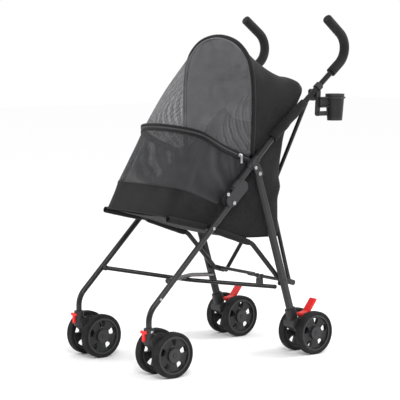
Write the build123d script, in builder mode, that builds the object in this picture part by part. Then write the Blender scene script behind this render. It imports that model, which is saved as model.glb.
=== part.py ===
"""Folding pet stroller with twin-wheel casters, an enclosed cabin and a cup holder.

Units are millimetres. X is across the stroller, with +X on its left. The front faces -Y
and Z is up. The origin is on the floor, in the middle of the footprint.

Points named as pairs are (y, z) in the side view, with y counted from the rear axle.
Every pair of left and right pieces is made by a loop, where `s` is 1 on the left and -1
on the right.
"""
from build123d import *
from math import atan2, degrees, hypot
import os

os.makedirs("parts", exist_ok=True)

# ---------------------------------------------------------------- driving dimensions
rear_axle_y = 217.3
wheelbase = 514.0
half_track = 170.0

wheel_diameter = 125.0
wheel_width = 25.0
wheel_gap = 50.0
rim_diameter = 104.0
rim_ring = 5.0
hub_diameter = 40.0
window_count = 5
window_margin = 4.0
window_narrow = 11.0
window_wide = 25.0
window_corner = 4.0
web_thickness = 11.0
axle_diameter = 8.0
axle_clearance = 0.3

frame_tube = 16.0
rail_tube = 14.0
brace_tube = 12.0
brace_bend = 600.0
spreader_tube = 10.0
bow_rod = 8.0
tube_wall = 1.5
leg_depth = 24.0
leg_breadth = 15.0

pivot_pin = 6.0
rivet_head = 11.0
rivet_height = 2.2
pin_clearance = 0.3
cheek_gap = 0.5
cheek_thickness = 3.0
clamp_wall = 2.5
bore_length = 120.0
far_cut = 1200.0

handle_flare = 9.0
grip_flare = 13.5
grip_wall = 6.0
grip_low_y = 86.0

rail_inset = 20.0
brace_inset = 20.0
ball_radius = 8.0
free_ball_radius = 6.5
free_ball_gap = 4.0
ball_clearance = 0.6

cabin_gap = 1.5
cloth = 3.0

caster_trail = 51.0
fork_half_width = 22.0
collar_radius = 14.0
collar_top = 136.0
stem_depth = 26.0

# ---------------------------------------------------------------- side-view points
axle_height = wheel_diameter / 2
rear_axle = (0.0, axle_height)
front_axle = (-wheelbase, axle_height)
stem_y = -wheelbase - caster_trail

front_hinge = (-279.0, 457.0)
rear_hinge = (-186.0, 534.0)
handle_start = (-276.0, 489.0)
handle_bend = (-137.0, 625.0)
handle_corner = (169.4, 884.0)
handle_end = (64.0, 967.6)
grip_radius = 57.0
handle_bend_radius = 120.0
rail_bends = [200.0, 40.0]

leg_knee = (stem_y, 176.0)
rail_pivot_share = 0.238
lower_brace_share = 0.72
leg_foot_z = collar_top - stem_depth
rear_leg_foot = (-46.0, axle_height + 26.5)
rail_front = (-480.0, 422.0)
rail_knee = (-188.0, 333.0)
rail_pivot_rear = (-85.0, 221.0)

brace_top = (22.0, 741.0)
brace_foot = (-42.0, 208.0)
lower_brace_rear = (-98.0, 199.0)
lower_brace_lug_length = 11.0
rear_bow = 20.0
brace_pass = brace_tube / 2 + 2.0

spreader_z = 216.0
spreader_pivot_x = half_track - 22.0
spreader_y = {"left": -70.0, "right": -70.0 + spreader_tube + 2.2}
spreader_overlap = 6.0
lock_x = 45.0
lock_length = 26.0
lock_ring_length = 6.0
lock_ring_wall = 1.6
lock_reach = 34.0
lock_depth = 28.0
lock_thickness = 6.0

pedal_pivot = (-18.0, axle_height + 49.5)
pedal_middle = (2.0, axle_height + 55.5)
pedal_tip = (29.0, axle_height + 89.5)
pedal_width = 24.0
pedal_thickness = 8.0

cup_offset = 11.9
cup_y = 93.0
cup_bottom = 675.0
cup_top = 752.0
cup_bottom_radius = 22.0
cup_top_radius = 28.0
cup_wall = 2.0
cup_clamp_y = 38.0

floor_line = [(-72, 345), (-200, 352), (-240, 356), (-335, 388), (-480, 428)]
band_top = (-442, 504)
rim_front = (-372, 645)
window_bend = (-231, 834)
bow_top_z = 924.0
bow_y = -200.0
bow_foot_z = 579.0
roof_line = [(-27, 837), (36, 796), (11, 791), (-6, 758), (-16, 725)]
back_line = [(-55, 650), (-70, 550)]
belt_front = (-240, 520)

SIDES = (("left", 1), ("right", -1))


# ---------------------------------------------------------------- helpers
def at(x, point):
    """Place a side-view point at the distance x from the middle."""
    return Vector(x, point[0] + rear_axle_y, point[1])


def between(a, b, share=0.5):
    """Point part of the way from a to b."""
    return tuple(p + (q - p) * share for p, q in zip(a, b))


def handle_x(y):
    """Distance of the handle tube from the middle, which grows above its bend."""
    share = (y - handle_bend[0]) / (handle_corner[0] - handle_bend[0])
    return half_track + handle_flare * max(0.0, share)


def on_handle(y):
    """Point of the handle tube's axis at y, in the side view."""
    if y < handle_bend[0]:
        start, end = handle_start, handle_bend
    else:
        start, end = handle_bend, handle_corner
    return between(start, end, (y - start[0]) / (end[0] - start[0]))


def side_plane(x):
    """Plane across X whose own x and y are the side view's y and z."""
    return Plane(origin=(x, rear_axle_y, 0), x_dir=(0, 1, 0), z_dir=(1, 0, 0))


def tube(points, outer, bends=None, wall=tube_wall):
    """Sweep a round tube along straight runs joined by arcs."""
    with BuildLine() as path:
        if bends:
            FilletPolyline(*points, radius=bends)
        else:
            Polyline(*points)
    with BuildSketch(Plane(origin=path.line @ 0, z_dir=path.line % 0)) as ring:
        Circle(outer / 2)
        if wall:
            Circle(outer / 2 - wall, mode=Mode.SUBTRACT)
    sweep(sections=ring.sketch, path=path.line)


def strap(s, x, thickness, start, end, width, mode=Mode.ADD):
    """Round-ended plate between two side-view points, thickness outwards from x."""
    length = hypot(end[0] - start[0], end[1] - start[1])
    turn = degrees(atan2(end[1] - start[1], end[0] - start[0]))
    with BuildSketch(side_plane(s * x)) as outline:
        with Locations(between(start, end)):
            SlotCenterToCenter(length, width, rotation=turn)
    extrude(to_extrude=outline.sketch, amount=s * thickness, mode=mode)


def pin(s, x_from, x_to, point, diameter, mode=Mode.ADD):
    """Round bar across X through a side-view point."""
    with BuildSketch(side_plane(s * x_from)) as section:
        with Locations(point):
            Circle(diameter / 2)
    extrude(to_extrude=section.sketch, amount=s * (x_to - x_from), mode=mode)


def sleeve(start, end, outer, bore):
    """Round clamp on a straight tube."""
    axis = (end - start).normalized()
    with BuildSketch(Plane(origin=start, z_dir=axis)) as section:
        Circle(outer / 2)
    extrude(to_extrude=section.sketch, amount=(end - start).length)
    with BuildSketch(Plane(origin=start, z_dir=axis)) as hole:
        Circle(bore / 2)
    extrude(to_extrude=hole.sketch, amount=(end - start).length, mode=Mode.SUBTRACT)


def finish(piece, name):
    """Name a finished piece and write its file."""
    piece.part.label = name
    export_step(piece.part, f"parts/{name}.step")


# ---------------------------------------------------------------- wheels
rim_inner = rim_diameter / 2 - rim_ring
window_inner = hub_diameter / 2 + window_margin
window_outer = rim_inner - window_margin


def window():
    """Opening in a rim's web: a rounded wedge, wide towards the rim."""
    reach = (window_outer - window_inner) / 2
    with BuildSketch(mode=Mode.PRIVATE) as wedge:
        corners = (-reach, -window_narrow / 2), (reach, -window_wide / 2), (reach, window_wide / 2)
        Polygon(*corners, (-reach, window_narrow / 2), align=None)
        fillet(wedge.vertices(), window_corner)
    return wedge.sketch


def make_wheel(name, x):
    """Rim with a windowed web and a long hub, and its tyre."""
    half = wheel_width / 2
    with BuildPart() as rim:
        with BuildSketch(side_plane(x - half + 2)) as ring:
            with Locations((rim_y, axle_height)):
                Circle(rim_diameter / 2)
                Circle(rim_inner, mode=Mode.SUBTRACT)
        extrude(to_extrude=ring.sketch, amount=wheel_width - 4)
        with BuildSketch(side_plane(x - web_thickness / 2)) as web:
            with Locations((rim_y, axle_height)):
                Circle(rim_inner + 1)
                with PolarLocations((window_inner + window_outer) / 2, window_count, 90):
                    add(window(), mode=Mode.SUBTRACT)
        extrude(to_extrude=web.sketch, amount=web_thickness)
        with BuildSketch(side_plane(x - half)) as hub:
            with Locations((rim_y, axle_height)):
                Circle(hub_diameter / 2)
        extrude(to_extrude=hub.sketch, amount=wheel_width)
        with BuildSketch(side_plane(x - half)) as bore:
            with Locations((rim_y, axle_height)):
                Circle(axle_diameter / 2 + axle_clearance)
        extrude(to_extrude=bore.sketch, amount=wheel_width, mode=Mode.SUBTRACT)
    finish(rim, f"{name}_rim")

    with BuildPart() as tyre:
        profile_plane = Plane(origin=(x, rear_axle_y + rim_y, axle_height), x_dir=(0, 0, 1), z_dir=(0, 1, 0))
        with BuildSketch(profile_plane) as section:
            with Locations(((wheel_diameter + rim_diameter) / 4, 0)):
                RectangleRounded((wheel_diameter - rim_diameter) / 2, wheel_width, 4.2)
        revolve(profiles=section.sketch, axis=Axis((x, rear_axle_y + rim_y, axle_height), (1, 0, 0)))
    finish(tyre, f"{name}_tyre")


for side, s in SIDES:
    for end_name, rim_y in (("front", front_axle[0]), ("rear", rear_axle[0])):
        for place, outwards in (("inner", -1), ("outer", 1)):
            wheel_x = s * (half_track + outwards * (wheel_gap + wheel_width) / 2)
            make_wheel(f"{side}_{end_name}_{place}", wheel_x)

# ---------------------------------------------------------------- left and right frame
rail_pivot_front = between(front_hinge, leg_knee, rail_pivot_share)
lower_brace_front = between(front_hinge, leg_knee, lower_brace_share)
cheek_in = half_track - frame_tube / 2 - cheek_gap - cheek_thickness
cheek_out = half_track + frame_tube / 2 + cheek_gap
rail_x = half_track - rail_inset
cabin_half_width = rail_x - rail_tube / 2 - cabin_gap
brace_x = half_track - brace_inset
lug_face = brace_x + ball_radius + ball_clearance
lug_width = 2 * ball_radius
pin_hole = pivot_pin + 2 * pin_clearance

for side, s in SIDES:
    top_x = half_track + grip_flare
    handle_path = [
        at(s * half_track, handle_start),
        at(s * half_track, handle_bend),
        at(s * (half_track + handle_flare), handle_corner),
        at(s * top_x, handle_end),
    ]
    with BuildPart() as handle:
        tube(handle_path, frame_tube, bends=[handle_bend_radius, grip_radius])
        lug_y = brace_top[0]
        strap(s, lug_face, handle_x(lug_y) - lug_face, on_handle(lug_y), brace_top, lug_width)
    finish(handle, f"{side}_handle_tube")

    with BuildPart() as grip:
        with BuildLine() as covered:
            FilletPolyline(at(s * handle_x(grip_low_y), on_handle(grip_low_y)), *handle_path[2:], radius=grip_radius)
        foam = frame_tube / 2 + grip_wall
        with BuildSketch(Plane(origin=covered.line @ 0, z_dir=covered.line % 0)) as ring:
            Circle(foam)
            Circle(frame_tube / 2, mode=Mode.SUBTRACT)
        sweep(sections=ring.sketch, path=covered.line)
        with BuildSketch(Plane(origin=covered.line @ 1, z_dir=covered.line % 1)) as cap:
            Circle(foam)
        extrude(to_extrude=cap.sketch, amount=3, taper=30)
    finish(grip, f"{side}_grip")

    handle_run = Vector(0, handle_bend[0] - handle_start[0], handle_bend[1] - handle_start[1]).normalized()
    with BuildPart() as front_plate:
        plate_low = between(front_hinge, on_handle(-294.0))
        plate_high = (plate_low[0] + 40, plate_low[1] + 36)
        strap(s, cheek_in, cheek_thickness, plate_low, plate_high, 36)
        strap(s, cheek_out, cheek_thickness, plate_low, plate_high, 36)
        low = at(s * half_track, handle_start) + handle_run * 8
        sleeve(low, low + handle_run * 26, frame_tube + 2 * clamp_wall + 2, frame_tube)
        pin(s, cheek_in - 1, cheek_out + cheek_thickness + 1, front_hinge, pivot_pin, Mode.SUBTRACT)
        tube_bore = Cylinder(frame_tube / 2, bore_length, mode=Mode.PRIVATE)
        add(Plane(origin=low, z_dir=handle_run) * tube_bore, mode=Mode.SUBTRACT)
    finish(front_plate, f"{side}_front_hinge_plate")

    with BuildPart() as rear_bracket:
        over = on_handle(rear_hinge[0] - 15)
        strap(s, cheek_in, cheek_thickness, over, rear_hinge, 25)
        strap(s, cheek_out, cheek_thickness, over, rear_hinge, 25)
        middle = at(s * half_track, over)
        low = middle - handle_run * 20
        sleeve(low, middle + handle_run * 22, frame_tube + 2 * clamp_wall, frame_tube)
        pin(s, cheek_in - 1, cheek_out + cheek_thickness + 1, rear_hinge, pivot_pin, Mode.SUBTRACT)
        tube_bore = Cylinder(frame_tube / 2, bore_length, mode=Mode.PRIVATE)
        add(Plane(origin=low, z_dir=handle_run) * tube_bore, mode=Mode.SUBTRACT)
    finish(rear_bracket, f"{side}_rear_hinge_bracket")

    with BuildPart() as rivets:
        outer_face = cheek_out + cheek_thickness
        for hinge in (front_hinge, rear_hinge):
            pin(s, cheek_in, outer_face, hinge, pivot_pin)
            pin(s, outer_face, outer_face + rivet_height, hinge, rivet_head)
            pin(s, cheek_in - rivet_height, cheek_in, hinge, rivet_head)
    finish(rivets, f"{side}_hinge_rivets")

    with BuildPart() as front_leg:
        leg_x = s * half_track
        leg_run = Vector(0, front_hinge[0] - leg_knee[0], front_hinge[1] - leg_knee[1]).normalized()
        leg_top = at(leg_x, front_hinge) + leg_run * 8
        tube([at(leg_x, (stem_y, leg_foot_z)), at(leg_x, leg_knee), leg_top], frame_tube, bends=[60])
        pin(s, lug_face, half_track - frame_tube / 2 + 2, lower_brace_front, lug_width)
        pin(s, half_track - frame_tube, half_track + frame_tube, front_hinge, pin_hole, Mode.SUBTRACT)
    finish(front_leg, f"{side}_front_leg")

    with BuildPart() as fork:
        strap(s, half_track - fork_half_width, 2 * fork_half_width, (stem_y + 10, axle_height + 40), front_axle, 34)
        with BuildSketch(Plane.XY.offset(axle_height + 30)) as collar:
            with Locations((s * half_track, rear_axle_y + stem_y)):
                Circle(collar_radius)
        extrude(to_extrude=collar.sketch, amount=collar_top - axle_height - 30)
        with BuildSketch(Plane.XY.offset(leg_foot_z - 1)) as socket:
            with Locations((s * half_track, rear_axle_y + stem_y)):
                Circle(frame_tube / 2 + pin_clearance)
        extrude(to_extrude=socket.sketch, amount=stem_depth + 2, mode=Mode.SUBTRACT)
        reach = fork_half_width + 1
        pin(s, half_track - reach, half_track + reach, front_axle, axle_diameter, Mode.SUBTRACT)
    finish(fork, f"{side}_caster_fork")

    with BuildPart() as tab:
        tab_y = rear_axle_y + stem_y - collar_radius - 1.0
        with BuildSketch(Plane.XZ.offset(-tab_y)) as tee:
            with Locations((s * half_track, collar_top - 22)):
                Rectangle(9, 24)
            with Locations((s * half_track, collar_top - 9)):
                RectangleRounded(24, 8, 2.5)
        extrude(to_extrude=tee.sketch, amount=5)
    finish(tab, f"{side}_swivel_lock_tab")

    for end_name, centre in (("caster", front_axle), ("rear", rear_axle)):
        reach = wheel_gap / 2 + wheel_width
        with BuildPart() as axle:
            pin(s, half_track - reach, half_track + reach, centre, axle_diameter)
            pin(s, half_track - reach - 1.5, half_track - reach, centre, axle_diameter + 6)
            pin(s, half_track + reach, half_track + reach + 1.5, centre, axle_diameter + 6)
        finish(axle, f"{side}_{end_name}_axle")

    rear_run = Vector(0, rear_leg_foot[0] - rear_hinge[0], rear_leg_foot[1] - rear_hinge[1])
    rear_plane = Plane(origin=at(s * half_track, rear_hinge), x_dir=(1, 0, 0), z_dir=rear_run)
    with BuildPart() as rear_leg:
        with BuildSketch(rear_plane) as section:
            RectangleRounded(leg_breadth, leg_depth, leg_breadth / 2 - 0.2)
            inside = leg_breadth - 2 * tube_wall
            RectangleRounded(inside, leg_depth - 2 * tube_wall, inside / 2 - 0.2, mode=Mode.SUBTRACT)
        extrude(to_extrude=section.sketch, amount=rear_run.length)
        head = leg_depth / 2
        pin(s, half_track - leg_breadth / 2, half_track + leg_breadth / 2, rear_hinge, 2 * head)
        lug_run = half_track - leg_breadth / 2 + 1 - lug_face
        lower_run = hypot(lower_brace_rear[0] - rail_pivot_rear[0], lower_brace_rear[1] - rail_pivot_rear[1])
        lower_lug_end = between(rail_pivot_rear, lower_brace_rear, lower_brace_lug_length / lower_run)
        strap(s, lug_face, lug_run, rail_pivot_rear, brace_foot, lug_width)
        strap(s, lug_face, lug_run, rail_pivot_rear, lower_lug_end, lug_width)
        pin(s, cheek_in, half_track + frame_tube, rear_hinge, pin_hole, Mode.SUBTRACT)
        pin(s, lug_face - 1, half_track + frame_tube, rail_pivot_rear, pin_hole, Mode.SUBTRACT)
    finish(rear_leg, f"{side}_rear_leg")

    with BuildPart() as wheel_bracket:
        block = 2 * fork_half_width
        shoulder = between(rear_leg_foot, rear_axle, -0.1)
        strap(s, half_track - fork_half_width, block, shoulder, rear_axle, 32)
        socket_start = rear_plane.origin + rear_run * (1 - 48 / rear_run.length)
        socket_plane = Plane(origin=socket_start, x_dir=(1, 0, 0), z_dir=rear_run)
        with BuildSketch(socket_plane) as socket:
            RectangleRounded(leg_breadth + 7, leg_depth + 7, leg_breadth / 2)
        extrude(to_extrude=socket.sketch, amount=48)
        for inner in (half_track - fork_half_width, half_track + fork_half_width - 3.5):
            strap(s, inner, 3.5, (-34.0, axle_height + 30), pedal_pivot, 16)
        with BuildSketch(socket_plane) as leg_space:
            RectangleRounded(leg_breadth, leg_depth, leg_breadth / 2 - 0.2)
        extrude(to_extrude=leg_space.sketch, amount=48, mode=Mode.SUBTRACT)
        reach = fork_half_width + 1
        pin(s, half_track - reach, half_track + reach, rear_axle, axle_diameter, Mode.SUBTRACT)
        pin(s, half_track - reach, half_track + reach, pedal_pivot, 5.0, Mode.SUBTRACT)
    finish(wheel_bracket, f"{side}_rear_wheel_bracket")

    with BuildPart() as pedal:
        inner = half_track - pedal_width / 2
        strap(s, inner, pedal_width, pedal_pivot, pedal_middle, pedal_thickness)
        strap(s, inner, pedal_width, pedal_middle, pedal_tip, pedal_thickness)
        pin(s, inner, inner + pedal_width, pedal_pivot, 13)
        pin(s, inner - 1, inner + pedal_width + 1, pedal_pivot, 5.0, Mode.SUBTRACT)
        pin(s, half_track - fork_half_width, half_track + fork_half_width, pedal_pivot, 4.6)
    finish(pedal, f"{side}_brake_pedal")

    with BuildPart() as rail:
        rail_points = (rail_front, rail_pivot_front, rail_knee, rail_pivot_rear)
        tube([at(s * rail_x, p) for p in rail_points], rail_tube, bends=rail_bends)
        near = half_track - frame_tube / 2 - pin_clearance
        pin(s, rail_x, lug_face - pin_clearance, rail_pivot_rear, rail_tube)
        pin(s, lug_face - pin_clearance, half_track + leg_breadth / 2, rail_pivot_rear, pivot_pin)
        pin(s, rail_x, near, rail_pivot_front, rail_tube - 2)
    finish(rail, f"{side}_rail")

    with BuildPart() as spreader:
        beam_y = spreader_y[side]
        beam = [at(s * (spreader_pivot_x + 5), (beam_y, spreader_z)), at(-s * spreader_overlap, (beam_y, spreader_z))]
        tube(beam, spreader_tube, wall=0)
    finish(spreader, f"{side}_spreader_bar")

    for name, own, far, rise, across in (
        ("rear_brace", brace_top, brace_foot, 0.0, rear_bow + s * brace_pass),
        ("lower_brace", lower_brace_front, lower_brace_rear, s * brace_pass, 0.0),
    ):
        start = at(s * brace_x, own)
        end = at(-s * (brace_x - free_ball_gap), far)
        middle = (start + end) * 0.5 + Vector(0, across, rise)
        with BuildPart() as brace:
            tube([start, middle, end], brace_tube, bends=[brace_bend])
            for centre, radius in ((start, ball_radius), (end, free_ball_radius)):
                with Locations(Plane(origin=centre, z_dir=centre - middle)):
                    Sphere(radius)
        finish(brace, f"{side}_{name}")

with BuildPart() as lock:
    for x in (lock_x - lock_length / 2, lock_x + lock_length / 2 - lock_ring_length):
        with BuildSketch(side_plane(x)) as ring:
            with Locations((spreader_y["left"], spreader_z)):
                Circle(spreader_tube / 2 + lock_ring_wall)
                Circle(spreader_tube / 2 + pin_clearance, mode=Mode.SUBTRACT)
        extrude(to_extrude=ring.sketch, amount=lock_ring_length)
    paddle_y = rear_axle_y + spreader_y["left"] + lock_thickness / 2
    with BuildSketch(Plane.XZ.offset(-paddle_y)) as paddle:
        with Locations((lock_x, spreader_z - lock_reach + lock_depth / 2)):
            RectangleRounded(lock_length, lock_depth, 6)
    extrude(to_extrude=paddle.sketch, amount=lock_thickness)
finish(lock, "spreader_lock")

# ---------------------------------------------------------------- cup holder
clamp_point = on_handle(cup_clamp_y)
clamp_x = handle_x(cup_clamp_y)
clamp_run = (at(handle_x(cup_y), on_handle(cup_y)) - at(clamp_x, clamp_point)).normalized()
arm_z = 696.0
cup_slope = (cup_top_radius - cup_bottom_radius) / (cup_top - cup_bottom)
arm_end = cup_y - cup_bottom_radius - cup_slope * (arm_z - cup_bottom)
with BuildPart() as cup_clamp:
    centre = at(clamp_x, clamp_point)
    sleeve(centre - clamp_run * 8, centre + clamp_run * 8, frame_tube + 8, frame_tube)
    strap(1, clamp_x, 6, (cup_clamp_y - 2, clamp_point[1] - 14), (cup_clamp_y - 5, arm_z), 15)
    with BuildSketch(side_plane(clamp_x)) as arm:
        with Locations(((cup_clamp_y - 5 + arm_end - 1) / 2, arm_z)):
            Rectangle(arm_end - 1 - cup_clamp_y + 5, 13)
    extrude(to_extrude=arm.sketch, amount=10)
    tube_bore = Cylinder(frame_tube / 2, bore_length, mode=Mode.PRIVATE)
    add(Plane(origin=centre, z_dir=clamp_run) * tube_bore, mode=Mode.SUBTRACT)
finish(cup_clamp, "cup_clamp")

with BuildPart() as cup:
    cup_origin = (clamp_x + cup_offset, rear_axle_y + cup_y)
    with BuildSketch(Plane(origin=(*cup_origin, 0), x_dir=(1, 0, 0), z_dir=(0, -1, 0))) as wall:
        with BuildLine():
            Polyline(
                (0, cup_bottom),
                (cup_bottom_radius, cup_bottom),
                (cup_top_radius, cup_top),
                (cup_top_radius - cup_wall, cup_top),
                (cup_bottom_radius - cup_wall, cup_bottom + 3),
                (0, cup_bottom + 3),
                close=True,
            )
        make_face()
    revolve(profiles=wall.sketch, axis=Axis((*cup_origin, 0), (0, 0, 1)))
    with BuildSketch(side_plane(clamp_x + 1)) as tongue:
        with Locations((arm_end + 0.2, arm_z)):
            Rectangle(2.4, 11)
    extrude(to_extrude=tongue.sketch, amount=8)
finish(cup, "cup_holder")


# ---------------------------------------------------------------- cabin
cabin_outline = floor_line + [band_top, rim_front, window_bend, (bow_y - 7, bow_top_z), (bow_y + 7, bow_top_z)]
cabin_outline = cabin_outline + roof_line + back_line


def arch(inset):
    """Front view of the cabin: straight sides and a roof with rounded shoulders."""
    half = cabin_half_width - inset
    top = bow_top_z - inset
    with BuildSketch(Plane.XZ) as front:
        with BuildLine():
            FilletPolyline(
                (-half, 300 + inset),
                (-half, top - 56),
                (-half * 0.45, top),
                (half * 0.45, top),
                (half, top - 56),
                (half, 300 + inset),
                radius=45,
            )
            Line((half, 300 + inset), (-half, 300 + inset))
        make_face()
    return front.sketch


def block(outline, inset):
    """Solid of a side outline, as wide as the cabin and rounded at the roof."""
    with BuildPart() as body:
        with BuildSketch(side_plane(0)) as side_view:
            with BuildLine():
                Polyline(*outline, close=True)
            make_face()
            if inset:
                offset(amount=-inset, mode=Mode.REPLACE, kind=Kind.INTERSECTION)
        extrude(to_extrude=side_view.sketch, amount=cabin_half_width - inset, both=True)
        extrude(to_extrude=arch(inset), amount=far_cut, both=True, mode=Mode.INTERSECT)
    return body.part


cavity = block(cabin_outline, cloth)
belt_rear = roof_line[-1]
bow_front = (bow_y - 7, bow_top_z)
bow_rear = (bow_y + 7, bow_top_z)
shells = {
    "cabin_tub": floor_line + [band_top, belt_front, belt_rear] + back_line,
    "front_mesh": [band_top, rim_front, (-300, 600), belt_front],
    "window_mesh": [rim_front, window_bend, bow_front, (bow_y - 7, bow_foot_z), belt_front, (-300, 600)],
    "canopy_hood": [bow_rear] + roof_line + [(bow_y + 7, bow_foot_z - 10)],
}
for name, outline in shells.items():
    with BuildPart() as shell:
        add(block(outline, 0))
        add(cavity, mode=Mode.SUBTRACT)
    finish(shell, name)

with BuildPart() as bow:
    bow_x = cabin_half_width + bow_rod / 2 - 1
    shoulder = bow_top_z - 56
    bow_path = [
        at(-bow_x, (bow_y, bow_foot_z)),
        at(-bow_x, (bow_y, shoulder)),
        at(-bow_x * 0.45, (bow_y, bow_top_z)),
        at(bow_x * 0.45, (bow_y, bow_top_z)),
        at(bow_x, (bow_y, shoulder)),
        at(bow_x, (bow_y, bow_foot_z)),
    ]
    tube(bow_path, bow_rod, bends=[45, 45, 45, 45], wall=0)
finish(bow, "canopy_bow")

with BuildPart() as mat:
    lift = cloth + 1.0
    mat_line = [(-82, 345 + lift), (-200, 352 + lift), (-240, 356 + lift), (-335, 388 + lift), (-462, 424 + lift)]
    mat_top = [(p[0], p[1] + 18) for p in reversed(mat_line)]
    with BuildSketch(side_plane(0)) as section:
        with BuildLine():
            Polyline(*mat_line, *mat_top, close=True)
        make_face()
    extrude(to_extrude=section.sketch, amount=cabin_half_width - cloth - 4, both=True)
finish(mat, "floor_mat")
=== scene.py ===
"""Visual model of the pet stroller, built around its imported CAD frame.

Blender units are metres. `P(x, y, z)` takes millimetres, with y counted from the rear axle,
and gives a point of the frame.
"""
import math

import bpy
from mathutils import Matrix, Vector, noise


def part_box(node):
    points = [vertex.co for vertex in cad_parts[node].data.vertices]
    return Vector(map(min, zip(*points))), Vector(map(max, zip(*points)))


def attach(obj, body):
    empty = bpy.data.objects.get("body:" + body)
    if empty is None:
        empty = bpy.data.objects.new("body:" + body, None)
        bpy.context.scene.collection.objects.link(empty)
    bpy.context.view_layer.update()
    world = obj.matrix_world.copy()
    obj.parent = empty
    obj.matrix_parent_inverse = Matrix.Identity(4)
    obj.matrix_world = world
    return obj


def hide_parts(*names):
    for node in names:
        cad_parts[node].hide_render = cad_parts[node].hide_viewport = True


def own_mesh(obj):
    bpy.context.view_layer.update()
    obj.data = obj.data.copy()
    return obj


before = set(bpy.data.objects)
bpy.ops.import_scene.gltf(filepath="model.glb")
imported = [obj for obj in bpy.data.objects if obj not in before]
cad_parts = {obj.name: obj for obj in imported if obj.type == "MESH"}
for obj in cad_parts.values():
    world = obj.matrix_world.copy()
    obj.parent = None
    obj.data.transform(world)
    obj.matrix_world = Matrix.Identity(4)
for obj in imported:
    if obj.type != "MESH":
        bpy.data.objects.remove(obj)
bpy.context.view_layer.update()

MM = 0.001
tyre_low, tyre_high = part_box("left_rear_outer_tyre")
REAR_AXLE_Y = (tyre_low[1] + tyre_high[1]) / 2
SIDES = (("left", 1), ("right", -1))

CLOTH_THICK = 0.0016
NET_THICK = 0.0008
FLOOR_THICK = 0.002
SLEEVE_THICK = 0.0012
CHANNEL_THICK = 0.001
BOX_CORNERS = ((-1, -1, -1), (1, -1, -1), (1, 1, -1), (-1, 1, -1), (-1, -1, 1), (1, -1, 1), (1, 1, 1), (-1, 1, 1))
BOX_FACES = ((0, 3, 2, 1), (4, 5, 6, 7), (0, 1, 5, 4), (1, 2, 6, 5), (2, 3, 7, 6), (3, 0, 4, 7))


def P(x, y, z):
    """Point of the frame from millimetres, y counted from the rear axle."""
    return Vector((x * MM, y * MM + REAR_AXLE_Y, z * MM))


# ---------------------------------------------------------------- node materials
class Shader:
    """A new material with a Principled BSDF and short calls for its nodes."""

    def __init__(self, name, color, roughness, metallic=0.0):
        self.mat = bpy.data.materials.new(name)
        self.mat.use_nodes = True
        self.tree = self.mat.node_tree
        self.bsdf = next(n for n in self.tree.nodes if n.type == "BSDF_PRINCIPLED")
        self.out = next(n for n in self.tree.nodes if n.type == "OUTPUT_MATERIAL")
        self.set("Base Color", (*color, 1))
        self.set("Roughness", roughness)
        self.set("Metallic", metallic)
        coord = self.node("ShaderNodeTexCoord")
        self.point = coord.outputs["Object"]

    def node(self, kind, **inputs):
        made = self.tree.nodes.new(kind)
        for key, value in inputs.items():
            made.inputs[key.replace("_", " ")].default_value = value
        return made

    def set(self, socket, value):
        self.bsdf.inputs[socket].default_value = value

    def link(self, a, b):
        self.tree.links.new(a, b)

    def noise(self, scale, detail=4.0, roughness=0.55):
        made = self.node("ShaderNodeTexNoise", Scale=scale, Detail=detail, Roughness=roughness)
        self.link(self.point, made.inputs["Vector"])
        return made.outputs["Fac"]

    def wave(self, axis, scale):
        made = self.node("ShaderNodeTexWave", Scale=scale)
        made.bands_direction = axis
        self.link(self.point, made.inputs["Vector"])
        return made.outputs["Fac"]

    def math(self, operation, a, b):
        made = self.tree.nodes.new("ShaderNodeMath")
        made.operation = operation
        for place, value in enumerate((a, b)):
            if isinstance(value, (int, float)):
                made.inputs[place].default_value = value
            else:
                self.link(value, made.inputs[place])
        return made.outputs[0]

    def ramp(self, fac, stops):
        made = self.tree.nodes.new("ShaderNodeValToRGB")
        ramp = made.color_ramp
        while len(ramp.elements) < len(stops):
            ramp.elements.new(0.5)
        for element, (place, color) in zip(ramp.elements, stops):
            element.position = place
            element.color = (*color, 1) if len(color) == 3 else color
        self.link(fac, made.inputs["Fac"])
        return made.outputs["Color"]

    def range(self, fac, low, high):
        made = self.node("ShaderNodeMapRange")
        made.inputs["To Min"].default_value = low
        made.inputs["To Max"].default_value = high
        self.link(fac, made.inputs["Value"])
        return made.outputs["Result"]

    def bump(self, height, strength, distance):
        made = self.node("ShaderNodeBump", Strength=strength, Distance=distance)
        self.link(height, made.inputs["Height"])
        self.link(made.outputs["Normal"], self.bsdf.inputs["Normal"])

    def edges(self):
        """Pointiness: high on sharp outer edges, for lighter edges; on the frame's paint they are a painted
        highlight.
        """
        return self.node("ShaderNodeNewGeometry").outputs["Pointiness"]


def painted_metal():
    """Satin black powder coat: fine orange peel, with a painted highlight lighter along its edges."""
    s = Shader("black_powder_coat", (0.012, 0.012, 0.013), 0.3)
    # Painted highlight: the coat is lighter on sharp outer edges, mixed with a little noise.
    edge_highlight = s.ramp(s.math("ADD", s.edges(), s.math("MULTIPLY", s.noise(60), 0.05)),
                  [(0.52, (0.005, 0.005, 0.0055)), (0.64, (0.03, 0.03, 0.032))])
    s.link(edge_highlight, s.bsdf.inputs["Base Color"])
    s.link(s.range(s.noise(35), 0.22, 0.38), s.bsdf.inputs["Roughness"])
    s.set("Specular IOR Level", 0.22)
    s.set("Coat Weight", 0.12)
    s.set("Coat Roughness", 0.15)
    s.bump(s.noise(900, 2.0), 0.12, 0.0002)
    return s.mat


def bright_steel():
    """Dull zinc plate with fine brushed marks."""
    s = Shader("zinc_plated_steel", (0.66, 0.66, 0.67), 0.28, 1.0)
    plate = s.ramp(s.noise(120), [(0.3, (0.3, 0.3, 0.31)), (0.7, (0.52, 0.52, 0.53))])
    s.link(plate, s.bsdf.inputs["Base Color"])
    s.link(s.range(s.noise(260), 0.2, 0.42), s.bsdf.inputs["Roughness"])
    s.bump(s.noise(1500, 2.0), 0.1, 0.0001)
    return s.mat


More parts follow.
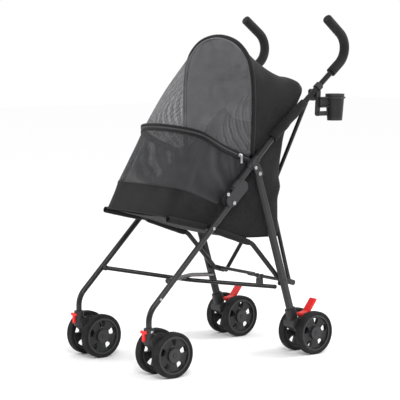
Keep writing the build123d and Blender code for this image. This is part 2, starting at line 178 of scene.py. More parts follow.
def moulded_plastic(name, color, lighter, rough):
    """Spark-eroded moulded plastic, a little paler along its edges."""
    s = Shader(name, color, rough)
    tone = s.math("ADD", s.edges(), s.math("MULTIPLY", s.noise(45), 0.06))
    s.link(s.ramp(tone, [(0.5, color), (0.62, lighter)]), s.bsdf.inputs["Base Color"])
    s.link(s.range(s.noise(70), rough - 0.08, rough + 0.1), s.bsdf.inputs["Roughness"])
    s.set("Specular IOR Level", 0.25)
    s.bump(s.noise(1400, 3.0), 0.25, 0.0002)
    return s.mat


def foam():
    """Closed-cell foam: soft, matt and finely pitted."""
    s = Shader("grip_foam", (0.012, 0.012, 0.012), 0.8)
    pits = s.node("ShaderNodeTexVoronoi", Scale=1100.0)
    s.link(s.point, pits.inputs["Vector"])
    tone = s.ramp(s.noise(25), [(0.3, (0.006, 0.006, 0.006)), (0.75, (0.016, 0.016, 0.017))])
    s.link(tone, s.bsdf.inputs["Base Color"])
    s.link(s.range(s.noise(200), 0.68, 0.9), s.bsdf.inputs["Roughness"])
    s.set("Specular IOR Level", 0.2)
    s.set("Sheen Weight", 0.06)
    s.set("Sheen Roughness", 0.5)
    s.bump(pits.outputs["Distance"], 0.5, 0.0005)
    return s.mat


def tyre_rubber():
    """Matt rubber with dust in its fine texture."""
    s = Shader("tyre_rubber", (0.014, 0.014, 0.014), 0.72)
    dust = s.ramp(s.noise(40), [(0.35, (0.006, 0.006, 0.006)), (0.8, (0.018, 0.018, 0.019))])
    s.link(dust, s.bsdf.inputs["Base Color"])
    s.link(s.range(s.noise(90), 0.6, 0.85), s.bsdf.inputs["Roughness"])
    s.set("Specular IOR Level", 0.2)
    s.bump(s.noise(900, 4.0), 0.35, 0.0004)
    return s.mat


def woven_cloth(name, dark, light, yarn, rough=0.85):
    """Plain weave, its yarns crossing at `yarn` per metre, with a faint mottling."""
    s = Shader(name, dark, rough)
    across = s.math("ADD", s.wave("X", yarn), s.wave("Y", yarn))
    weave = s.math("MULTIPLY", across, s.wave("Z", yarn))
    mottle = s.math("ADD", s.math("MULTIPLY", s.noise(9), 0.7), s.math("MULTIPLY", weave, 0.12))
    s.link(s.ramp(mottle, [(0.25, dark), (0.62, light)]), s.bsdf.inputs["Base Color"])
    s.link(s.range(s.noise(140), rough - 0.1, rough + 0.08), s.bsdf.inputs["Roughness"])
    s.set("Specular IOR Level", 0.18)
    s.set("Sheen Weight", 0.05)
    s.set("Sheen Roughness", 0.45)
    s.bump(weave, 0.4, 0.0004)
    return s.mat


def net_cloth(name, color, holes, size):
    """Fine net with about `holes` holes per metre; `size` is a hole's radius as a share of its cell."""
    s = Shader(name, color, 0.75)
    cells = s.node("ShaderNodeTexVoronoi", Scale=holes, Randomness=0.1)
    s.link(s.point, cells.inputs["Vector"])
    yarn = s.math("GREATER_THAN", cells.outputs["Distance"], size)
    s.link(s.range(yarn, 0.12, 1.0), s.bsdf.inputs["Alpha"])
    s.link(s.ramp(s.noise(30), [(0.3, color), (0.8, tuple(c * 1.7 for c in color))]), s.bsdf.inputs["Base Color"])
    s.link(s.range(s.noise(120), 0.6, 0.85), s.bsdf.inputs["Roughness"])
    s.bump(cells.outputs["Distance"], 0.3, 0.0004)
    return s.mat


PAINT = painted_metal()
STEEL = bright_steel()
FOAM = foam()
PLASTIC = moulded_plastic("black_plastic", (0.006, 0.006, 0.0065), (0.03, 0.03, 0.032), 0.45)
RIM = moulded_plastic("rim_plastic", (0.007, 0.007, 0.008), (0.035, 0.035, 0.037), 0.34)
TYRE = tyre_rubber()
RED = moulded_plastic("red_plastic", (0.62, 0.006, 0.006), (0.72, 0.02, 0.018), 0.34)
CLOTH = woven_cloth("black_polyester", (0.006, 0.006, 0.0065), (0.015, 0.015, 0.016), 420)
LINING = woven_cloth("grey_lining", (0.30, 0.30, 0.31), (0.42, 0.42, 0.43), 300)
PADDING = woven_cloth("mat_cloth", (0.05, 0.05, 0.053), (0.09, 0.09, 0.095), 300)
BINDING = woven_cloth("edge_binding", (0.005, 0.005, 0.0055), (0.013, 0.013, 0.014), 700, 0.7)
TRIM = woven_cloth("grey_trim", (0.16, 0.16, 0.17), (0.26, 0.26, 0.27), 900, 0.6)
COIL = moulded_plastic("zip_coil", (0.03, 0.03, 0.032), (0.07, 0.07, 0.072), 0.4)
NET = net_cloth("grey_net", (0.07, 0.07, 0.075), 760, 0.54)
# Painted shade: the front net is the grey net in a darker colour, for the shade of the cabin's inside behind it; its
# holes are smaller too.
SHADED_FRONT_NET = net_cloth("grey_net_painted_shade", (0.018, 0.018, 0.02), 760, 0.46)

NODE_MATERIALS = (
    ("_rim", RIM),
    ("_tyre", TYRE),
    ("_grip", FOAM),
    ("pedal", RED),
    ("lock_tab", RED),
    ("rivets", STEEL),
    ("axle", PAINT),
    ("fork", PLASTIC),
    ("plate", PLASTIC),
    ("bracket", PLASTIC),
    ("cup_", PLASTIC),
    ("spreader_lock", PLASTIC),
    ("floor_mat", PADDING),
    ("", PAINT),
)


def dress_nodes():
    """Give every CAD node its material."""
    for name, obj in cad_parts.items():
        material = next(m for key, m in NODE_MATERIALS if key in name)
        for place in obj.material_slots:
            place.material = material


# ---------------------------------------------------------------- mesh helpers
def new_mesh(name, verts, faces, material, smooth=True):
    """Object from lists of points and faces."""
    data = bpy.data.meshes.new(name)
    data.from_pydata([tuple(v) for v in verts], [], faces)
    data.update()
    data.materials.append(material)
    if smooth:
        data.shade_smooth()
    obj = bpy.data.objects.new(name, data)
    bpy.context.collection.objects.link(obj)
    return obj


def apply_modifiers(obj):
    """Turn an object's modifiers into its mesh."""
    bpy.context.view_layer.update()
    graph = bpy.context.evaluated_depsgraph_get()
    data = bpy.data.meshes.new_from_object(obj.evaluated_get(graph))
    obj.modifiers.clear()
    obj.data = data
    return obj


def spline(points, count):
    """Catmull-Rom curve through points, as count points evenly spaced along it."""
    pts = [Vector(p) for p in points]
    fine = []
    for i in range(len(pts) - 1):
        p0 = pts[max(i - 1, 0)]
        p1, p2 = pts[i], pts[i + 1]
        p3 = pts[min(i + 2, len(pts) - 1)]
        for k in range(16):
            t = k / 16
            a = p1 * 2
            b = (p2 - p0) * t
            c = (p0 * 2 - p1 * 5 + p2 * 4 - p3) * t ** 2
            d = (p1 * 3 - p0 - p2 * 3 + p3) * t ** 3
            fine.append((a + b + c + d) * 0.5)
    fine.append(pts[-1])
    lengths = [0.0]
    for a, b in zip(fine, fine[1:]):
        lengths.append(lengths[-1] + (b - a).length)
    made = []
    j = 0
    for k in range(count):
        target = lengths[-1] * k / (count - 1)
        while j < len(fine) - 2 and lengths[j + 1] < target:
            j += 1
        step = lengths[j + 1] - lengths[j]
        share = (target - lengths[j]) / step if step > 1e-12 else 0.0
        made.append(fine[j].lerp(fine[j + 1], min(max(share, 0.0), 1.0)))
    return made


def mirrored(half):
    """Whole curve from its left half, listed from the middle out to the left end."""
    return [Vector((-p[0], p[1], p[2])) for p in reversed(half[1:])] + [Vector(p) for p in half]


def loft(name, curves, columns, rows, material, straight=False):
    """Cloth surface through curves, with smooth or straight lines from one to the next."""
    lines = [spline(c, columns) for c in curves]
    verts = []
    for i in range(columns):
        across = [line[i] for line in lines]
        if straight:
            total = rows - 1
            spans = len(across) - 1
            for k in range(rows):
                place = k / total * spans
                j = min(int(place), spans - 1)
                verts.append(across[j].lerp(across[j + 1], place - j))
        else:
            verts.extend(spline(across, rows))
    faces = []
    for i in range(columns - 1):
        for k in range(rows - 1):
            a = i * rows + k
            faces.append((a, a + rows, a + rows + 1, a + 1))
    return new_mesh(name, verts, faces, material)


def wrinkle(obj, size, depth, hold=None, seed=0.0):
    """Push a cloth mesh in and out along its normals by smooth noise, less near its rims."""
    data = obj.data
    normals = [v.normal.copy() for v in data.vertices]
    for v, n in zip(data.vertices, normals):
        where = v.co / size + Vector((seed, seed * 0.7, -seed))
        lift = noise.noise(where) + 0.5 * noise.noise(where * 2.1)
        share = hold(v.co) if hold else 1.0
        v.co = v.co + n * lift * depth * share
    data.update()
    return obj


def thicken(obj, thickness):
    """Give a cloth sheet its real thickness."""
    made = obj.modifiers.new("thickness", "SOLIDIFY")
    made.thickness = thickness
    made.offset = 0
    return apply_modifiers(obj)


def tube_faces(rings, sides):
    """Faces between rings of `sides` points each."""
    faces = []
    for i in range(rings - 1):
        for k in range(sides):
            a, b = i * sides + k, i * sides + (k + 1) % sides
            faces.append((a, b, b + sides, a + sides))
    return faces


def pipe(name, points, radius, material, count=0, sides=10):
    """Round cord along a smooth line of `count` points, or along the points as they are, with closed ends."""
    line = spline(points, count) if count else [Vector(p) for p in points]
    verts = []
    total = len(line)
    frame_side = None
    for i, p in enumerate(line):
        ahead = line[min(i + 1, total - 1)]
        behind = line[max(i - 1, 0)]
        along = (ahead - behind).normalized()
        if frame_side is None:
            guess = Vector((0, 0, 1)) if abs(along.z) < 0.9 else Vector((1, 0, 0))
            frame_side = along.cross(guess).normalized()
        frame_side = (frame_side - along * frame_side.dot(along)).normalized()
        other = along.cross(frame_side)
        for k in range(sides):
            angle = 2 * math.pi * k / sides
            verts.append(p + (frame_side * math.cos(angle) + other * math.sin(angle)) * radius)
    faces = tube_faces(total, sides)
    faces.append(tuple(range(sides))[::-1])
    faces.append(tuple((total - 1) * sides + k for k in range(sides)))
    return new_mesh(name, verts, faces, material)


def joined(name, objects):
    """Join separate meshes into one object."""
    verts = []
    faces = []
    picks = []
    mats = []
    for obj in objects:
        base = len(verts)
        verts.extend(obj.matrix_world @ v.co for v in obj.data.vertices)
        for m in obj.data.materials:
            if m not in mats:
                mats.append(m)
        for f in obj.data.polygons:
            faces.append(tuple(base + k for k in f.vertices))
            picks.append(mats.index(obj.data.materials[f.material_index]))
    made = new_mesh(name, verts, faces, mats[0])
    for m in mats[1:]:
        made.data.materials.append(m)
    for f, pick in zip(made.data.polygons, picks):
        f.material_index = pick
    for obj in objects:
        bpy.data.objects.remove(obj)
    return made


# ---------------------------------------------------------------- cabin lines
# Each line is its left half, from the middle of the cabin to its left end.
BOW = [P(0, -190, 917), P(45, -190, 912), P(85, -190, 899), P(116, -190, 878), P(138, -190, 851),
       P(151, -190, 815), P(157, -190, 768), P(158, -190, 710), P(157, -191, 650), P(154, -192, 585)]
ZIP = [P(0, -396, 664), P(60, -391, 662), P(105, -378, 657), P(132, -362, 650), P(148, -345, 639),
       P(151, -297, 612), P(152, -253, 593), P(153, -225, 582), P(154, -203, 574)]
BAND = [P(0, -457, 506), P(60, -456, 506), P(112, -455, 505), P(138, -448, 503), P(148, -430, 498),
        P(149, -400, 488), P(149, -372, 476), P(149, -340, 462), P(149, -306, 448)]
FLOOR = [P(0, -490, 432), P(60, -490, 432), P(118, -489, 431), P(141, -483, 429), P(149, -466, 425),
         P(149, -430, 415), P(148, -390, 402), P(147, -350, 390), P(146, -306, 375)]


def narrow(obj):
    """Give a piece of the cabin its own copy of its mesh."""
    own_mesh(obj)


CABIN = []  # every piece on the cabin's body


def cabin_add(obj, slot, *nodes):
    """Put a piece on the cabin's body, in place of the soft CAD nodes named; its slot is not used."""
    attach(obj, "cabin")
    if nodes:
        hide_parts(*nodes)
    CABIN.append(obj)
    return obj


def cloth_sheet(obj, thickness, flat, cut, held, rests, slot, *nodes):
    """Finish a sheet of the cabin: its thickness and its body; its slot and its cut are not used."""
    thicken(obj, thickness)
    cabin_add(obj, slot, *nodes)
    return obj


def make_window():
    """Net window from the zip up to the bow, taut, with a faint outward swell."""
    zip_line = mirrored(ZIP)
    bow_line = mirrored(BOW)
    swell = Vector((0, -0.008, 0.004))
    middle = [a.lerp(b, 0.5) + swell for a, b in zip(spline(zip_line, 33), spline(bow_line, 33))]
    net = loft("window_net", [zip_line, middle, bow_line], 81, 33, NET)
    cloth_sheet(net, NET_THICK, (0.647, 0.326), 0.1434, "stretched", ["canopy_bow"], "grey_mesh", "window_mesh")


def make_front_net():
    """Lower net between the front band and the zip, wrapped round both front corners."""
    # Its darker net colour is painted shade.
    net = loft("front_net", [mirrored(BAND), mirrored(ZIP)], 81, 25, SHADED_FRONT_NET)
    cloth_sheet(net, NET_THICK, (0.642, 0.182), 0.1002, "stretched", ["left_handle_tube"], "grey_mesh", "front_mesh")


def make_band():
    """Solid cloth band round the cabin's front, from the floor's hem up to the lower net."""
    band = loft("front_band", [mirrored(FLOOR), mirrored(BAND)], 111, 17, CLOTH)
    wrinkle(band, 0.09, 0.0016, seed=3.1)
    cloth_sheet(band, CLOTH_THICK, (0.651, 0.097), 0.0485, "stretched", ["left_rail", "right_rail"], "black_cloth")


def make_side_panels():
    """Side and back walls of the tub, one cloth from one front leg round the back to the other."""
    low = [P(0, -72, 346), P(70, -72, 346), P(116, -73, 346), P(137, -82, 347), P(144, -102, 348),
           P(145, -160, 350), P(145, -225, 355), P(146, -275, 366), P(146, -318, 379)]
    mid = [P(0, -76, 520), P(70, -75, 520), P(116, -74, 520), P(140, -80, 519), P(148, -100, 512),
           P(150, -150, 494), P(150, -200, 474), P(149, -250, 446), P(149, -306, 412)]
    high = [P(0, -50, 667), P(70, -48, 669), P(114, -45, 676), P(138, -43, 692), P(149, -53, 703),
            P(151, -110, 654), P(153, -170, 598), P(153, -225, 548), P(150, -314, 453)]
    wall = loft("side_walls", [mirrored(low), mirrored(mid), mirrored(high)], 161, 37, CLOTH)

    def slack(p):
        """More play in the middle of the wall than at its hems."""
        height = (p.z - 0.345) / 0.3
        return max(0.15, 1 - abs(2 * height - 1))

    wrinkle(wall, 0.075, 0.0075, hold=slack, seed=8.4)
    handles = ["left_handle_tube", "right_handle_tube"]
    cloth_sheet(wall, CLOTH_THICK, (0.749, 0.368), 0.2, "hung", handles, "black_cloth", "cabin_tub")


def make_floor():
    """Floor of the tub, stretched between the rails and a little slack between them."""
    rows = [(-74, 346), (-140, 348), (-200, 351), (-240, 356), (-290, 371), (-335, 387), (-400, 406), (-486, 431)]
    reach = 146
    curves = []
    for y, z in rows:
        curves.append([P(x, y, z - 5 * (1 - (x / reach) ** 2)) for x in (-reach, -90, -30, 30, 90, reach)])
    floor = loft("tub_floor", curves, 49, 61, CLOTH)
    cloth_sheet(floor, FLOOR_THICK, (0.425, 0.293), None, "stretched", ["left_rail", "right_rail"], "black_cloth")


HOOD = [
    [P(0, -110, 852), P(40, -110, 850), P(76, -110, 843), P(106, -110, 829), P(130, -111, 808),
     P(146, -112, 780), P(154, -113, 742), P(156, -114, 704), P(156, -114, 672), P(155, -116, 641)],
    [P(0, -30, 808), P(40, -30, 807), P(78, -31, 804), P(108, -33, 797), P(132, -36, 786),
     P(148, -40, 770), P(154, -43, 750), P(155, -46, 732), P(155, -49, 714), P(155, -52, 695)],
    [P(0, 4, 800), P(40, 4, 800), P(78, 3, 798), P(110, -1, 793), P(134, -8, 784),
     P(148, -16, 771), P(153, -22, 756), P(154, -26, 742), P(154, -30, 729), P(154, -34, 716)],
    [P(0, 31, 785), P(40, 31, 785), P(80, 29, 784), P(112, 20, 780), P(134, 6, 773),
     P(146, -5, 763), P(151, -13, 751), P(153, -19, 741), P(153, -24, 731), P(153, -28, 721)],
    [P(0, 37, 762), P(40, 37, 762), P(80, 34, 762), P(112, 25, 760), P(132, 11, 756),
     P(144, -1, 750), P(150, -10, 743), P(152, -16, 736), P(152, -21, 730), P(152, -25, 723)],
    [P(0, 6, 714), P(40, 6, 714), P(80, 4, 714), P(110, -2, 714), P(130, -11, 715),
     P(142, -20, 716), P(148, -25, 717), P(150, -28, 718), P(151, -31, 718), P(152, -33, 717)],
    [P(0, -50, 654), P(40, -49, 655), P(80, -47, 659), P(110, -44, 665), P(130, -41, 678),
     P(142, -41, 690), P(148, -40, 698), P(151, -40, 704), P(152, -40, 706), P(153, -40, 707)],
]


def make_hood():
    """Hood and its pale lining: one cloth from the bow over the roof and down behind the cabin."""
    curves = [mirrored(c) for c in [BOW] + HOOD]
    hood = loft("hood", curves, 101, 65, CLOTH)
    wrinkle(hood, 0.085, 0.003, seed=1.7)
    lining = new_mesh("hood_lining", [v.co for v in hood.data.vertices],
                      [tuple(f.vertices) for f in hood.data.polygons], LINING)
    centre = P(0, -120, 700)
    for v in lining.data.vertices:
        v.co = centre + (v.co - centre) * 0.972
    cloth_sheet(hood, CLOTH_THICK, (0.741, 0.397), 0.1739, "stretched", ["canopy_bow"], "black_cloth", "canopy_hood")
    cloth_sheet(lining, NET_THICK, (0.72, 0.386), 0.1643, "hung", ["hood"], "grey_mesh")


def make_bindings():
    """Bow sleeve, zip, hems and seams."""
    bow_line = mirrored(BOW)
    cabin_add(pipe("bow_sleeve", bow_line, 0.0066, BINDING, count=120), "black_cloth", "canopy_bow")
    inner = [p + Vector((-p.x * 0.045, -0.006, -0.004)) for p in bow_line]
    cabin_add(pipe("window_trim", inner, 0.0013, TRIM, count=120, sides=8), "grey_mesh")
    zip_line = spline(mirrored(ZIP), 90)
    out = [Vector((p.x * 0.02, -0.002, 0)) for p in zip_line]
    for name, lift in (("zip_upper_piping", 0.007), ("zip_lower_piping", -0.007)):
        line = [p + o + Vector((0, -0.002, lift)) for p, o in zip(zip_line, out)]
        cabin_add(pipe(name, line, 0.0036, BINDING, count=110), "black_cloth")
    tape = [p + o for p, o in zip(zip_line, out)]
    below = [p + Vector((0, -0.0015, -0.005)) for p in tape]
    above = [p + Vector((0, -0.0015, 0.005)) for p in tape]
    strip = loft("zip_tape", [below, above], 101, 3, BINDING, straight=True)
    cabin_add(thicken(strip, 0.001), "black_cloth")
    cabin_add(zip_teeth(tape), "grey_mesh")
    cabin_add(pipe("band_seam", mirrored(BAND), 0.0018, BINDING, count=110, sides=8), "black_cloth")
    cabin_add(pipe("floor_hem", mirrored(FLOOR), 0.0024, BINDING, count=110), "black_cloth")
    zip_slider(tape)


def zip_teeth(line):
    """Coil of the zip: short teeth across the tape, from one end to the other."""
    places = spline(line, 220)
    verts = []
    faces = []
    for a, b in zip(places, places[1:]):
        along = (b - a).normalized()
        up = (Vector((0, 0, 1)) - along * along.z).normalized()
        out = along.cross(up)
        middle = (a + b) / 2 + out * 0.0022
        base = len(verts)
        for dx, dy, dz in BOX_CORNERS:
            verts.append(middle + along * dx * 0.0009 + up * dy * 0.0021 + out * dz * 0.0006)
        for f in BOX_FACES:
            faces.append(tuple(base + k for k in f))
    return new_mesh("zip_teeth", verts, faces, COIL, smooth=False)


def rounded_block(name, size, material, bevel):
    """Soft-edged block, for small moulded or cast pieces."""
    x, y, z = (v / 2 for v in size)
    corners = [(a * x, b * y, c * z) for a, b, c in BOX_CORNERS]
    made = new_mesh(name, corners, BOX_FACES, material)
    edge = made.modifiers.new("bevel", "BEVEL")
    edge.width = bevel
    edge.segments = 3
    return apply_modifiers(made)


def zip_slider(tape):
    """Cast slider with a pull tab, closed at the left end of the zip."""
    place = tape[-6]
    along = (tape[-5] - tape[-7]).normalized()
    out = Vector((1, 0, 0))
    up = out.cross(along).normalized()
    turn = Matrix((along, up, out)).transposed().to_4x4()
    body = rounded_block("body", (0.013, 0.010, 0.005), STEEL, 0.0015)
    body.matrix_world = Matrix.Translation(place + out * 0.004) @ turn
    bridge = rounded_block("bridge", (0.008, 0.004, 0.004), STEEL, 0.0012)
    bridge.matrix_world = Matrix.Translation(place + out * 0.0075) @ turn
    pull = rounded_block("pull", (0.0016, 0.007, 0.020), STEEL, 0.0007)
    pull.matrix_world = Matrix.Translation(place + out * 0.0095 - Vector((0, 0, 0.012)))
    bpy.context.view_layer.update()
    cabin_add(joined("zip_slider", [body, bridge, pull]), "steel")


# ---------------------------------------------------------------- pieces on the frame
HANDLE_BEND = (-137, 625)
HANDLE_CORNER = (169.4, 884)
RAIL_LINE = [(-486, 424), (-440, 413), (-400, 403), (-347, 390), (-290, 369), (-240, 351), (-200, 337)]


def on_handle(side, y):
    """Point of a handle tube's axis, above its bend."""
    share = (y - HANDLE_BEND[0]) / (HANDLE_CORNER[0] - HANDLE_BEND[0])
    return P(side * (170 + 9 * share), y, HANDLE_BEND[1] + (HANDLE_CORNER[1] - HANDLE_BEND[1]) * share)


def sleeve(name, line, radius, seed, folds):
    """Loose cloth tube round a frame tube, pulled in at its ends and crossed by soft folds."""
    points = spline(line, 48)
    sides = 28
    verts = []
    for i, p in enumerate(points):
        ahead = points[min(i + 1, len(points) - 1)] - points[max(i - 1, 0)]
        along = ahead.normalized()
        across = along.cross(Vector((1, 0, 0))).normalized()
        third = along.cross(across)
        share = i / (len(points) - 1)
        ends = min(1.0, 9 * min(share, 1 - share) + 0.35)
        for k in range(sides):
            angle = 2 * math.pi * k / sides
            way = across * math.cos(angle) + third * math.sin(angle)
            ripple = noise.noise(p * 42 + way * 0.9 + Vector((seed, 0, 0))) * folds
            verts.append(p + way * (radius * (0.86 + 0.14 * ends) + ripple * ends))
    return new_mesh(name, verts, tube_faces(len(points), sides), CLOTH)


def make_sleeves():
    """Cloth channels that hold the cabin to the handle tubes and the rails."""
    for side, s in SIDES:
        line = [on_handle(s, y) for y in (-131, -100, -70, -40, -14)]
        upper = sleeve(f"{side}_handle_sleeve", line, 0.0122, s * 3.0, 0.0022)
        thicken(upper, SLEEVE_THICK)
        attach(upper, f"{side}_side")
        for part, stretch in (("front", RAIL_LINE[:4]), ("rear", RAIL_LINE[3:])):
            ends = [P(s * 150, y, z) for y, z in stretch]
            gap = (ends[1] - ends[0]).normalized() * 0.011
            if part == "front":
                ends[-1] = ends[-1] - gap
            else:
                ends[0] = ends[0] + gap
            channel = sleeve(f"{side}_{part}_rail_sleeve", ends, 0.0088, s * 5.0, 0.0006)
            thicken(channel, CHANNEL_THICK)
            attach(channel, f"{side}_rail")


def dome(name, centre, out, radius, height, material):
    """Domed rivet head."""
    across = out.cross(Vector((0, 0, 1))).normalized() if abs(out.z) < 0.9 else Vector((1, 0, 0))
    third = out.cross(across)
    profile = [(1.0, 0.0), (1.0, 0.25), (0.93, 0.5), (0.78, 0.72), (0.55, 0.88), (0.28, 0.97)]
    sides = 24
    verts = []
    for reach, rise in profile:
        for k in range(sides):
            angle = 2 * math.pi * k / sides
            way = across * math.cos(angle) + third * math.sin(angle)
            verts.append(centre + way * reach * radius + out * rise * height)
    verts.append(centre + out * height)
    faces = tube_faces(len(profile), sides)
    top = len(verts) - 1
    last = (len(profile) - 1) * sides
    for k in range(sides):
        faces.append((last + k, last + (k + 1) % sides, top))
    faces.append(tuple(range(sides))[::-1])
    return new_mesh(name, verts, faces, material)


def make_rivets():
    """Domed rivet heads at the frame's joints."""
    for side, s in SIDES:
        out = Vector((s, 0, 0))
        spots = [
            ("hinge_plate_rivet", f"{side}_side", (s * 182.2, -300, 482), 0.0052),
            ("bracket_rivet", f"{side}_side", (s * 182.2, -201, 551), 0.0052),
            ("leg_rivet", f"{side}_front_leg", (s * 178.0, -530, 211), 0.0042),
            ("rail_rivet", f"{side}_front_leg", (s * 178.0, -347, 390), 0.0046),
            ("fork_rivet", f"{side}_caster", (s * 184.0, -565, 127), 0.0044),
        ]
        for name, body, place, radius in spots:
            head = dome(f"{side}_{name}", P(*place), out, radius, 0.0026, STEEL)
            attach(head, body)


def make_cup_holder():
    """Moulded web between the clamp's arm and the cup, with a band under the cup's rim."""
    centre = P(187, 93, 0)
    pieces = []
    band = []
    for k in range(33):
        angle = 2 * math.pi * k / 32
        way = Vector((math.cos(angle), math.sin(angle), 0))
        band.append(Vector((centre.x, centre.y, 0.741)) + way * 0.0285)
    pieces.append(pipe("band", band, 0.0028, PLASTIC, count=80, sides=10))
    web = rounded_block("web", (0.006, 0.034, 0.030), PLASTIC, 0.002)
    web.matrix_world = Matrix.Translation(P(187, 52, 728))
    pieces.append(web)
    for z in (0.716, 0.742):
        rib = rounded_block("rib", (0.016, 0.036, 0.004), PLASTIC, 0.0015)
        rib.matrix_world = Matrix.Translation(P(187, 51, 0) + Vector((0, 0, z)))
        pieces.append(rib)
    bpy.context.view_layer.update()
    made = joined("cup_holder_web", pieces)
    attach(made, "left_side")


def make_treads():
    """Moulded tread blocks round every tyre, in two staggered rows."""
    for side, s in SIDES:
        for end in ("front", "rear"):
            for place in ("inner", "outer"):
                low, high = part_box(f"{side}_{end}_{place}_tyre")
                centre = (low + high) / 2
                radius = (high.z - low.z) / 2
                verts = []
                faces = []
                for row, shift in ((-1, 0.0), (1, 0.5)):
                    for k in range(36):
                        angle = 2 * math.pi * (k + shift) / 36
                        out = Vector((0, math.cos(angle), math.sin(angle)))
                        along = Vector((0, -math.sin(angle), math.cos(angle)))
                        base = len(verts)
                        for rise in (-0.0018, 0.0006):
                            for u, v in ((-1, -1), (1, -1), (1, 1), (-1, 1)):
                                x = row * 0.0055 + u * 0.0035
                                drop = abs(x) * 0.16
                                here = out * (radius + rise - drop)
                                verts.append(centre + Vector((x, 0, 0)) + along * v * 0.0036 + here)
                        for f in BOX_FACES:
                            faces.append(tuple(base + n for n in f))
                tread = new_mesh(f"{side}_{end}_{place}_tread", verts, faces, TYRE, smooth=False)
                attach(tread, f"{side}_{end}_{place}_wheel")


# ---------------------------------------------------------------- floor mat
def make_mat():
    """Quilted floor mat: a padded slab on the tub's floor, puffed up by a cloth simulation."""
    line = [P(0, y, z) for y, z in ((-86, 351), (-200, 357), (-240, 361), (-335, 393), (-462, 429))]
    points = spline(line, 60)
    half = 0.128
    columns = 40
    rows = 60
    verts = []
    for level in (0.0, 0.013):
        for i, p in enumerate(points):
            ahead = (points[min(i + 1, rows - 1)] - points[max(i - 1, 0)]).normalized()
            up = Vector((1, 0, 0)).cross(ahead)
            if up.z < 0:
                up = -up
            for k in range(columns):
                x = -half + 2 * half * k / (columns - 1)
                verts.append(p + Vector((x, 0, 0)) + up * level)
    layer = rows * columns
    faces = []
    for i in range(rows - 1):
        for k in range(columns - 1):
            a = i * columns + k
            faces.append((a, a + 1, a + columns + 1, a + columns))
            faces.append((layer + a, layer + a + columns, layer + a + columns + 1, layer + a + 1))
    for i in range(rows - 1):
        for k, flip in ((0, False), (columns - 1, True)):
            a, b = i * columns + k, (i + 1) * columns + k
            quad = (a, b, layer + b, layer + a)
            faces.append(quad[::-1] if flip else quad)
    for k in range(columns - 1):
        for i, flip in ((0, True), (rows - 1, False)):
            a, b = i * columns + k, i * columns + k + 1
            quad = (a, b, layer + b, layer + a)
            faces.append(quad[::-1] if flip else quad)
    mat = new_mesh("padded_mat", verts, faces, PADDING)
    puff(mat, 0.008)
    quilt(mat, points, half)
    rim = [P(-128, -86, 358), P(-128, -240, 368), P(-128, -462, 436), P(128, -462, 436),
           P(128, -240, 368), P(128, -86, 358), P(-128, -86, 358)]
    edge = pipe("mat_binding", rim, 0.002, BINDING, sides=8)
    cabin_add(edge, "mat_cloth")
    cabin_add(mat, "mat_cloth", "floor_mat")


def puff(obj, limit):
    """Swell a closed pad with a pressure cloth simulation, each point moving at most `limit`."""
    remesh = obj.modifiers.new("remesh", "REMESH")
    remesh.mode = "VOXEL"
    remesh.voxel_size = 0.0055
    apply_modifiers(obj)
    start = [v.co.copy() for v in obj.data.vertices]
    cloth = obj.modifiers.new("cloth", "CLOTH")
    cloth.settings.use_pressure = True
    cloth.settings.uniform_pressure_force = 4.0
    cloth.settings.effector_weights.gravity = 0
    cloth.settings.quality = 4
    scene = bpy.context.scene
    for step in range(1, 21):
        scene.frame_set(step)
    apply_modifiers(obj)
    scene.frame_set(1)
    for v, p in zip(obj.data.vertices, start):
        move = v.co - p
        if move.length > limit:
            v.co = p + move * (limit / move.length)
    smooth = obj.modifiers.new("smooth", "SUBSURF")
    smooth.levels = 1
    apply_modifiers(obj)
    obj.data.shade_smooth()


def quilt(obj, points, half):
    """Press sewn channels across the mat, one every tenth of its length."""
    low = points[0].y
    high = points[-1].y
    pitch = (high - low) / 9
    for v in obj.data.vertices:
        floor_z = min(points, key=lambda p: abs(p.y - v.co.y)).z
        if v.co.z < floor_z + 0.006:
            continue
        place = (v.co.y - low) / pitch
        near = abs(place - round(place)) * abs(pitch)
        press = math.exp(-(near / 0.005) ** 2) * 0.0045
        v.co.z -= press


dress_nodes()
make_window()
make_front_net()
make_band()
make_side_panels()
make_floor()
make_hood()
make_bindings()
make_mat()
for made in CABIN:
    narrow(made)
make_sleeves()
make_rivets()
make_cup_holder()
make_treads()


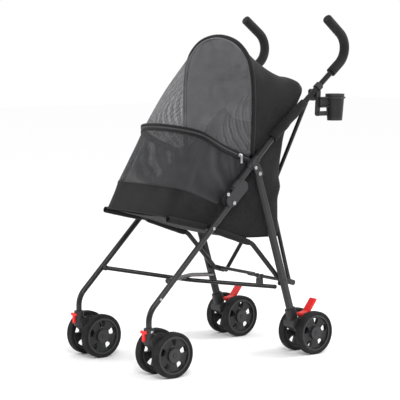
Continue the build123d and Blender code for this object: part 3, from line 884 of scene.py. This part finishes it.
# ---------------------------------------------------------------- stage
def make_stage():
    """Pale floor, white world and soft lights."""
    reach = 14.0
    material = bpy.data.materials.new("pale_floor")
    material.use_nodes = True
    shader = next(n for n in material.node_tree.nodes if n.type == "BSDF_PRINCIPLED")
    shader.inputs["Base Color"].default_value = (0.98, 0.98, 0.98, 1)
    shader.inputs["Roughness"].default_value = 0.95
    shader.inputs["Specular IOR Level"].default_value = 0.0
    corners = [(-reach, -reach, 0), (reach, -reach, 0), (reach, reach, 0), (-reach, reach, 0)]
    floor = new_mesh("floor", corners, [(0, 1, 2, 3)], material)
    world = bpy.data.worlds.new("studio")
    bpy.context.scene.world = world
    world.use_nodes = True
    background = next(n for n in world.node_tree.nodes if n.type == "BACKGROUND")
    background.inputs["Color"].default_value = (1, 1, 1, 1)
    background.inputs["Strength"].default_value = 1.0
    for name, place, power, spread in (
        ("key", (2.4, -1.6, 2.4), 45, 0.9),
        ("fill", (-1.6, -2.6, 1.6), 20, 1.4),
        ("back", (1.0, 2.4, 2.2), 40, 0.9),
    ):
        light = bpy.data.lights.new(name, "AREA")
        light.energy = power
        light.size = spread
        obj = bpy.data.objects.new(name, light)
        obj.location = place
        aim = Vector((0, 0, 0.5)) - Vector(place)
        obj.rotation_euler = aim.to_track_quat("-Z", "Y").to_euler()
        bpy.context.collection.objects.link(obj)
    bpy.context.scene.view_settings.view_transform = "Standard"


def make_camera():
    """Camera at the front left, a long lens from about 4.4 m."""
    camera = bpy.data.cameras.new("camera")
    camera.sensor_width = 36.0
    camera.lens = 136.5
    camera.clip_end = 50.0
    obj = bpy.data.objects.new("camera", camera)
    obj.location = P(3425.8, -2929.5, 911.6)
    heading = math.radians(52.05)
    dip = math.radians(6.08)
    look = Vector((-math.sin(heading) * math.cos(dip), math.cos(heading) * math.cos(dip), -math.sin(dip)))
    obj.rotation_euler = look.to_track_quat("-Z", "Y").to_euler()
    bpy.context.collection.objects.link(obj)
    bpy.context.scene.camera = obj


make_stage()
make_camera()
